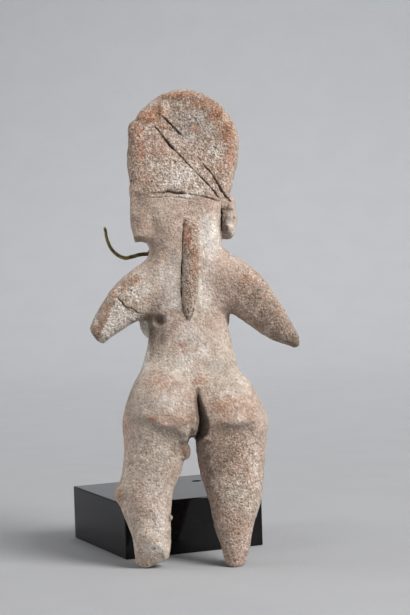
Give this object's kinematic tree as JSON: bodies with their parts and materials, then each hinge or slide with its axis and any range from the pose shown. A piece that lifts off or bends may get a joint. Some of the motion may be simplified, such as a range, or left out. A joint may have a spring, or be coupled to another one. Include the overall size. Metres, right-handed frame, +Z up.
{
  "type": "clay figurine on display block",
  "caption": "Small standing clay woman with a tall flat head, seen from behind, leaning on the brass wire cradle of a black display block.",
  "frame": {"origin": "centre of the bounding box's underside, on the surface that the feet and the block stand on", "axes": "+Z up, -Y toward the viewer who sees the figurine's back, +X to that viewer's right"},
  "size_m": [0.064, 0.0694, 0.1256],
  "materials": {
    "fired_clay": "unglazed, worn, with earth and reddish patches",
    "black_block": "polished",
    "brass_wire": "darkened"
  },
  "bodies": {
    "root": {"figurine": "fired_clay", "display_block": "black_block", "cradle_rod": "brass_wire"}
  },
  "joints": []
}
